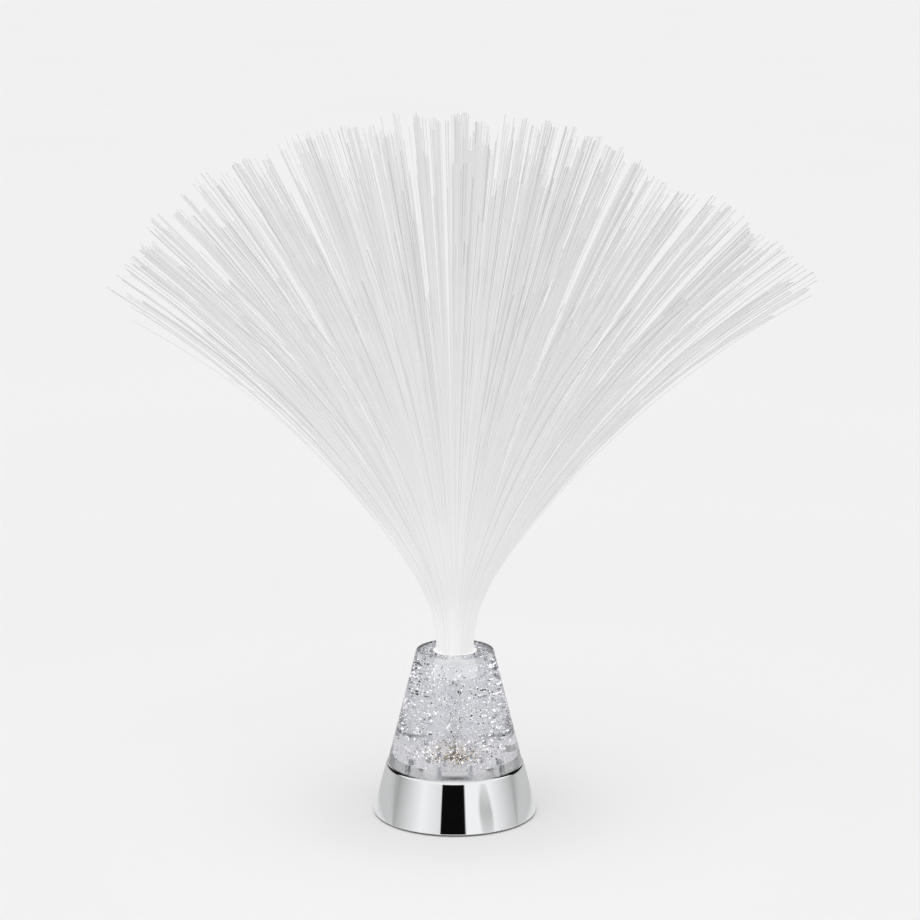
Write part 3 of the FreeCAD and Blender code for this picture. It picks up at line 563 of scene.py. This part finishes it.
# ---------------------------------------------------------------- chamber floor
# A clear ring welded into the cone's foot, with a white stopper in its filling hole. The weld
# shows only as a faint line.
welded_plastic = surface(
    finish("welded_polystyrene", share(1), 0.16, IOR=1.1, Transmission_Weight=1.0),
    9.0,
    bump=0.004,
)
weld = 0.05
floor_foot, floor_top = deck + 0.1, chamber_foot - 0.1
floor_ring = turned(
    "clear_floor",
    [
        (tube + weld, floor_foot, 0.1),
        (cone_foot - cone_wall - weld, floor_foot, 0.1),
        (cone_side(floor_top) - cone_wall - weld, floor_top, 0.1),
        (tube + weld, floor_top, 0.1),
    ],
)
floor_ring.data.materials.append(welded_plastic)
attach(floor_ring, "base")
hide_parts("chamber_floor")
# the stopper is given a faint painted glow, so that it shows pale through the cone
dress(
    ["filler_plug"],
    surface(
        finish("stopper_plastic_painted_glow", tint(228), 0.35, Emission_Color=tint(240), Emission_Strength=0.26),
        2.0,
        (tint(224, 224, 226), tint(233, 233, 234)),
        (0.3, 0.42),
    ),
)

# ---------------------------------------------------------------- glitter liquid
# Clear liquid that fills the chamber to its top, and the silver foil flakes that hang in it,
# cut as small hexagons of several sizes, with dark and tan ones that have sunk to the bottom.
liquid_finish = surface(
    finish("glitter_liquid", tint(253, 253, 255), 0.0, IOR=1.0, Transmission_Weight=1.0),
    30.0,
    bump=0.0005,
    detail=0.0,
)
film = 0.05  # between the liquid and its walls, so that no two faces coincide
liquid = turned(
    "liquid",
    [
        (tube + film, chamber_foot + film, 0.1),
        (cone_side(chamber_foot + film) - cone_wall - film, chamber_foot + film, 0.1),
        (cone_side(chamber_top - film) - cone_wall - film, chamber_top - film, 0.5),
        (tube + film, chamber_top - film, 0.5),
    ],
)
liquid.data.materials.append(liquid_finish)
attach(liquid, "base")
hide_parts("glitter_fluid")

draw = np.random.default_rng(7)
flake_count, sunk_count = 4300, 800
flake_floor, hang_depth, drift_depth = chamber_foot + 0.9, 46.2, 9.5
flake_height = flake_floor + hang_depth * draw.random(flake_count) ** 1.15
flake_size = 0.17 + 0.4 * draw.random(flake_count) ** 2.0
clear_of_wall = cone_wall + film + 0.1
widest = cone_side(flake_height) - clear_of_wall - flake_size
narrowest = tube + 0.2 + flake_size
flake_radius = np.sqrt(narrowest**2 + draw.random(flake_count) * (widest**2 - narrowest**2))
flake_turn = draw.random(flake_count) * 2 * math.pi
# a drift of them has sunk in front of the socket tube
sunk = np.arange(flake_count) < sunk_count
drift_height = flake_floor + drift_depth * draw.random(flake_count) ** 1.5
flake_height = np.where(sunk, drift_height, flake_height)
flake_radius = np.where(sunk, tube + 1.0 + 9.0 * draw.random(flake_count), flake_radius)
flake_turn = np.where(sunk, -math.pi / 2 + draw.normal(0, 0.55, flake_count), flake_turn)
flake_middle = np.stack(
    [flake_radius * np.cos(flake_turn), flake_radius * np.sin(flake_turn), flake_height], 1
)
flat = draw.normal(size=(flake_count, 3))
flat /= np.linalg.norm(flat, axis=1, keepdims=True)
along = np.cross(flat, draw.normal(size=(flake_count, 3)))
along /= np.linalg.norm(along, axis=1, keepdims=True)
beside = np.cross(flat, along)
corner_turn = (np.arange(6) * math.pi / 3)[None, :, None]
flake_corners = flake_middle[:, None] + flake_size[:, None, None] * (
    np.cos(corner_turn) * along[:, None] + np.sin(corner_turn) * beside[:, None]
)
flake_mesh = bpy.data.meshes.new("glitter_flakes")
flake_mesh.from_pydata(
    (flake_corners.reshape(-1, 3) / 1000).tolist(),
    [],
    np.arange(flake_count * 6).reshape(-1, 6).tolist(),
)
flakes = bpy.data.objects.new("glitter_flakes", flake_mesh)
bpy.context.scene.collection.objects.link(flakes)
foil = finish("silver_foil", tint(225), 0.3, Metallic=1.0)
tree = foil.node_tree
shader = tree.nodes["Principled BSDF"]
own = node(tree, "NewGeometry").node.outputs["Random Per Island"]
foil_colour = ramp(
    tree,
    own,
    [
        (0.0, tint(40)),
        (0.16, tint(54, 53, 52)),
        (0.18, tint(140, 128, 104)),
        (0.2, tint(184, 186, 194)),
        (0.5, tint(222, 224, 230)),
        (1.0, tint(250)),
    ],
)
tan_foil = ramp(
    tree,
    own,
    [
        (0.0, tint(70, 60, 50)),
        (0.16, tint(140, 120, 94)),
        (0.5, tint(196, 182, 160)),
        (0.66, tint(224, 220, 212)),
        (1.0, tint(250)),
    ],
)
spot = node(tree, "TexCoord").node.outputs["Object"]
drift_middle = (0.0, -0.017, 0.03)
to_drift = node(tree, "VectorMath", spot, drift_middle, operation="DISTANCE", out=1)
in_drift = between(tree, to_drift, 0.009, 0.014, 1.0, 0.0)
tree.links.new(node(tree, "MixRGB", in_drift, foil_colour, tan_foil), shader.inputs["Base Color"])
# painted glints: the flakes glow, most of them faintly and about one in four fully, in place of those that
# lie right to flash in the light
painted_glint = ramp(
    tree,
    own,
    [
        (0.0, share(0)),
        (0.2, share(0.06)),
        (0.5, share(0.26, 0.26, 0.28)),
        (0.71, share(0.4, 0.4, 0.42)),
        (0.73, share(1)),
    ],
)
painted_glint_in_drift = ramp(
    tree,
    own,
    [
        (0.0, share(0)),
        (0.16, share(0.2, 0.17, 0.13)),
        (0.5, share(0.3, 0.26, 0.21)),
        (0.84, share(0.34, 0.33, 0.31)),
        (0.86, share(1)),
    ],
)
tree.links.new(node(tree, "MixRGB", in_drift, painted_glint, painted_glint_in_drift), shader.inputs["Emission Color"])
shader.inputs["Emission Strength"].default_value = 0.9
flake_mesh.materials.append(foil)
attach(flakes, "base")

# ---------------------------------------------------------------- bundle sleeve
# A white moulded sleeve that plugs into the cone's socket and holds the fibres, which are
# glued at its lower end in clear resin and polished flat.
white_moulding = surface(
    finish("white_moulding", tint(207, 207, 206), 0.35, Emission_Color=tint(250, 251, 254)),
    2.0,
    (tint(204, 204, 203), tint(210, 210, 209)),
    (0.3, 0.42),
)
# painted glow: the sleeve glows, more below the rim than at it, standing in for daylight from the clear
# cone that spreads in it
tree = white_moulding.node_tree
level = node(tree, "SeparateXYZ", node(tree, "TexCoord").node.outputs["Object"], out=2)
painted_glow = between(tree, level, (rim - 1.5) / 1000, (rim - 0.5) / 1000, 0.53, 0.28)
tree.links.new(painted_glow, tree.nodes["Principled BSDF"].inputs["Emission Strength"])
dress(["bundle_sleeve"], white_moulding)
dress(
    ["bundle_potting"],
    surface(
        finish("potting_resin", tint(224, 220, 208), 0.15),
        0.9,
        (tint(206, 202, 190), tint(236, 233, 224)),
        (0.1, 0.22),
    ),
)

# ---------------------------------------------------------------- fibre spray
# Some 1,700 drawn acrylic fibres, 0.4 mm thick, packed side by side in the sleeve. Above the rim
# they fan out, most of all at the edge, in tufts that cling together. They are cut off by hand,
# so the tufts end unevenly, and a few stray fibres hang out further.
draw = np.random.default_rng(5)
fibre_plastic = finish("acrylic_fibre", tint(225), 0.4, Specular_IOR_Level=0.25)
tree = fibre_plastic.node_tree
shader = tree.nodes["Principled BSDF"]
where = node(tree, "TexCoord").node.outputs["Object"]
neck = (0.0, 0.0, 0.075)  # where the spray begins to open
from_neck = node(tree, "VectorMath", where, neck, operation="DISTANCE", out=1)
along_fibre = between(tree, from_neck, 0.0, 0.25)
own = node(tree, "NewGeometry").node.outputs["Random Per Island"]
own_shade = ramp(tree, own, [(0.0, tint(212)), (0.06, tint(226)), (0.15, tint(242)), (1.0, tint(255))])
towards_tip = between(tree, along_fibre, 0.1, 0.8, 0.3, 1.0)
own_shade = node(tree, "MixRGB", towards_tip, tint(250), own_shade)
milky = ramp(
    tree,
    along_fibre,
    [
        (0.0, tint(84)),
        (0.1, tint(108)),
        (0.3, tint(130)),
        (1.0, tint(126, 127, 127)),
    ],
)
fibre_colour = node(tree, "MixRGB", 1.0, milky, own_shade, blend_type="MULTIPLY")
tree.links.new(fibre_colour, shader.inputs["Base Color"])
# painted glow: the fibres glow, most near the neck, so they never look dark between one another; it stands
# in for daylight spreading along the clear fibres
tree.links.new(own_shade, shader.inputs["Emission Color"])
painted_glow = ramp(
    tree,
    along_fibre,
    [
        (0.0, share(0.88)),
        (0.07, share(0.79)),
        (0.155, share(0.685)),
        (0.25, share(0.66)),
        (0.35, share(0.625)),
        (0.6, share(0.595)),
        (0.8, share(0.59)),
        (1.0, share(0.57)),
    ],
)
# painted shade: the glow is a little lower towards the right-hand side of the spray
across = sums(tree, "DIVIDE", node(tree, "SeparateXYZ", where), from_neck)
painted_shade_right = ramp(
    tree,
    between(tree, across, -0.6, 0.6),
    [
        (0.0, share(0.99)),
        (0.5, share(1)),
        (0.85, share(0.93)),
    ],
)
strength = node(tree, "MixRGB", 1.0, painted_glow, painted_shade_right, blend_type="MULTIPLY")
tree.links.new(strength, shader.inputs["Emission Strength"])

fibre_pitch, fibre_radius, bundle_radius, reach_most = 0.40, 0.195, 8.7, 255.5
# a fibre at the edge of the bundle leans most, and does much of it in a close bend above the rim
most_lean, lean_power = np.radians(59.8), 1.22
bend_length, bend_share, whole_length = 42, 0.57, 250
rows_across = np.arange(-26, 27)
packed = np.array(
    [(fibre_pitch * (i + j % 2 / 2), fibre_pitch * 0.866 * j) for j in rows_across for i in rows_across]
)
foot = packed[np.hypot(packed[:, 0], packed[:, 1]) < bundle_radius]
foot = foot + draw.normal(0, 0.003, foot.shape)


def natural(places):
    """The way that a fibre leans at its tip, sideways and to the back, from its place in the bundle."""
    out = np.hypot(places[:, 0], places[:, 1]) / bundle_radius
    return places / bundle_radius * (most_lean * out**lean_power / out)[:, None]


def laid(tip, reach, rows=14):
    """Points from the rim to each tip, with a closer bend first and a gentler one beyond it."""
    length = reach[:, None] * np.linspace(0, 1, rows)[None] ** 1.3
    close = bend_share * length / bend_length
    gentle = bend_share + (1 - bend_share) * (length - bend_length) / (whole_length - bend_length)
    angle = np.hypot(tip[:, 0], tip[:, 1])[:, None] * np.where(length < bend_length, close, gentle)
    run, halfway = np.diff(length, axis=1), (angle[:, 1:] + angle[:, :-1]) / 2
    out, up = (np.pad(np.cumsum(part(halfway) * run, 1), ((0, 0), (1, 0))) for part in (np.sin, np.cos))
    outward = tip / np.hypot(tip[:, 0], tip[:, 1])[:, None]
    line = np.stack([out * outward[:, :1], out * outward[:, 1:], up + rim], 2)
    return line, angle, np.pad(outward, ((0, 0), (0, 1)))


# each fibre leans its own way, and most cling to the nearest of the tufts
tuft_foot = foot[draw.permutation(len(foot))[:300]]
tuft = np.argmin(((foot[:, None] - tuft_foot[None]) ** 2).sum(2), 1)
tight = draw.random(len(tuft_foot)) < 0.7
cling = np.where(tight, draw.uniform(0.7, 0.94, len(tight)), draw.uniform(0.0, 0.6, len(tight)))[tuft, None]
tuft_tip = natural(tuft_foot) + draw.normal(0, 0.012, tuft_foot.shape)
tip = natural(foot) * (1 - cling) + tuft_tip[tuft] * cling + draw.normal(0, 0.012, foot.shape) * (1 - cling)
# from the front they stand in columns that part at uneven places, in degrees of sideways lean
even = np.radians(np.linspace(-70, 70, 140))
most_way = 205.0  # along a fibre, where its sideways lean is read
gauge = laid(np.stack([even, 0 * even], 1), np.full(len(even), most_way))[0][:, -1]
ends = laid(tip, np.full(len(tip), most_way))[0][:, -1]
# how much of a height and of a depth shows from the front and a little above
height_seen, depth_seen = 0.976, 0.217
seen = [
    np.arctan2(spots[:, 0], (spots[:, 2] - rim) * height_seen + spots[:, 1] * depth_seen)
    for spots in (gauge, ends)
]
sideways = np.degrees(np.interp(seen[1], seen[0], even))
columns = 80
edges = -72 + np.cumsum(draw.uniform(0.9, 2.9, columns))
column = np.clip(np.searchsorted(edges, sideways) - 1, 0, columns - 2)
pull = np.clip(draw.uniform(-0.15, 0.4, columns), 0, 1)[column]
pull += 0.3 * np.clip((np.abs(sideways) - 44) / 8, 0, 1)
pull *= draw.random(len(tip)) > 0.12
aside = ((edges[column] + edges[column + 1]) / 2 - sideways) * pull
tip[:, 0] *= 1 + aside / sideways
sideways = sideways + aside
# and the wider partings
partings = [(45.0, 2.3), (36.4, 0.8), (31.3, 0.9), (22.0, 0.9), (9.1, 0.6)]
partings += [(-13.4, 0.6), (-21.5, 0.6), (-33.0, 0.8), (-39.8, 1.2), (-50.0, 1.3)]
for parting, half in partings:
    off = sideways - parting
    inside = (np.abs(off) < half) & (draw.random(len(tip)) > 0.13)
    aside = np.where(inside, np.where(off > 0, 1, -1) * half * 0.85 - 0.85 * off, 0)
    tip[:, 0] *= 1 + aside / sideways
    sideways = sideways + aside
# some of the outermost fibres stray further out
outermost = 8.1
stray = (np.hypot(foot[:, 0], foot[:, 1]) > outermost) & (draw.random(len(foot)) < 0.09)
tip *= np.where(stray, 1 + draw.uniform(0.03, 0.15, len(foot)), 1)[:, None]
# each tuft is cut off at its own length, each fibre of it nearly there, and one in ten well short
reach = reach_most - np.minimum(draw.exponential(1.8, len(tight)), 10)
reach -= tight * draw.uniform(0, 3, len(tight))
reach -= (draw.random(len(tight)) < 0.08) * draw.uniform(4, 24, len(tight))
reach = reach[tuft] - np.abs(draw.normal(0, 1.0, len(foot)))
reach -= (draw.random(len(foot)) < 0.1) * draw.uniform(0, 22, len(foot))
# the spray is cut lower to the right of the middle and at its sides, most of all on the left
reach -= 9 * np.exp(-(((sideways - 33) / 9) ** 2))
reach -= 8 * np.clip((np.abs(sideways) - 38) / 12, 0, 1) + 8 * np.clip((-sideways - 48) / 10, 0, 1)
line, angle, outward = laid(tip, reach)
line[:, :, :2] += foot[:, None]
rows, sides = line.shape[1] + 1, 5
# each fibre begins on the glued foot in the sleeve, straight below the rim
resin_height = 3.0
start = line[:, :1].copy()
start[:, :, 2] = socket_floor + resin_height
line = np.concatenate([start, line], 1)
angle = np.concatenate([angle[:, :1], angle], 1)
ahead = np.sin(angle)[:, :, None] * outward[:, None]
ahead[:, :, 2] = np.cos(angle)
side_on = np.broadcast_to(np.stack([-outward[:, 1], outward[:, 0], outward[:, 2]], 1)[:, None], ahead.shape)
third = np.cross(ahead, side_on)
spokes = (np.arange(sides) * 2 * math.pi / sides)[None, None, :, None]
skin = line[:, :, None] + fibre_radius * (
    np.cos(spokes) * third[:, :, None] + np.sin(spokes) * side_on[:, :, None]
)
# one piece for each ring of strands in the frame, which it stands for
strand_pitch, rings = 1.38, 6
ring_of = np.minimum(np.round(np.hypot(foot[:, 0], foot[:, 1]) / strand_pitch), rings).astype(int)
for ring in range(rings + 1):
    tubes = skin[ring_of == ring]
    first = (np.arange(len(tubes)) * rows * sides)[:, None, None]
    row = (np.arange(rows - 1) * sides)[None, :, None]
    edge = np.arange(sides)[None, None, :]
    a, b = first + row + edge, first + row + (edge + 1) % sides
    walls = np.stack([a, b, b + sides, a + sides], 3).reshape(-1, 4).tolist()
    around_end = np.arange(sides)
    ends = (first[:, 0] + around_end[::-1]).tolist()
    ends += (first[:, 0] + (rows - 1) * sides + around_end).tolist()
    mesh = bpy.data.meshes.new(f"fibres_{ring}")
    mesh.from_pydata((tubes.reshape(-1, 3) / 1000).tolist(), [], walls + ends)
    mesh.polygons.foreach_set("use_smooth", [True] * len(walls) + [False] * len(ends))
    mesh.materials.append(fibre_plastic)
    spray = bpy.data.objects.new(f"fibres_{ring}", mesh)
    bpy.context.scene.collection.objects.link(spray)
    spray.visible_shadow = False  # clear fibres let the light through
    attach(spray, "fibre_bundle")
    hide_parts(f"fibre_ring_{ring}" if ring else "fibre_core")
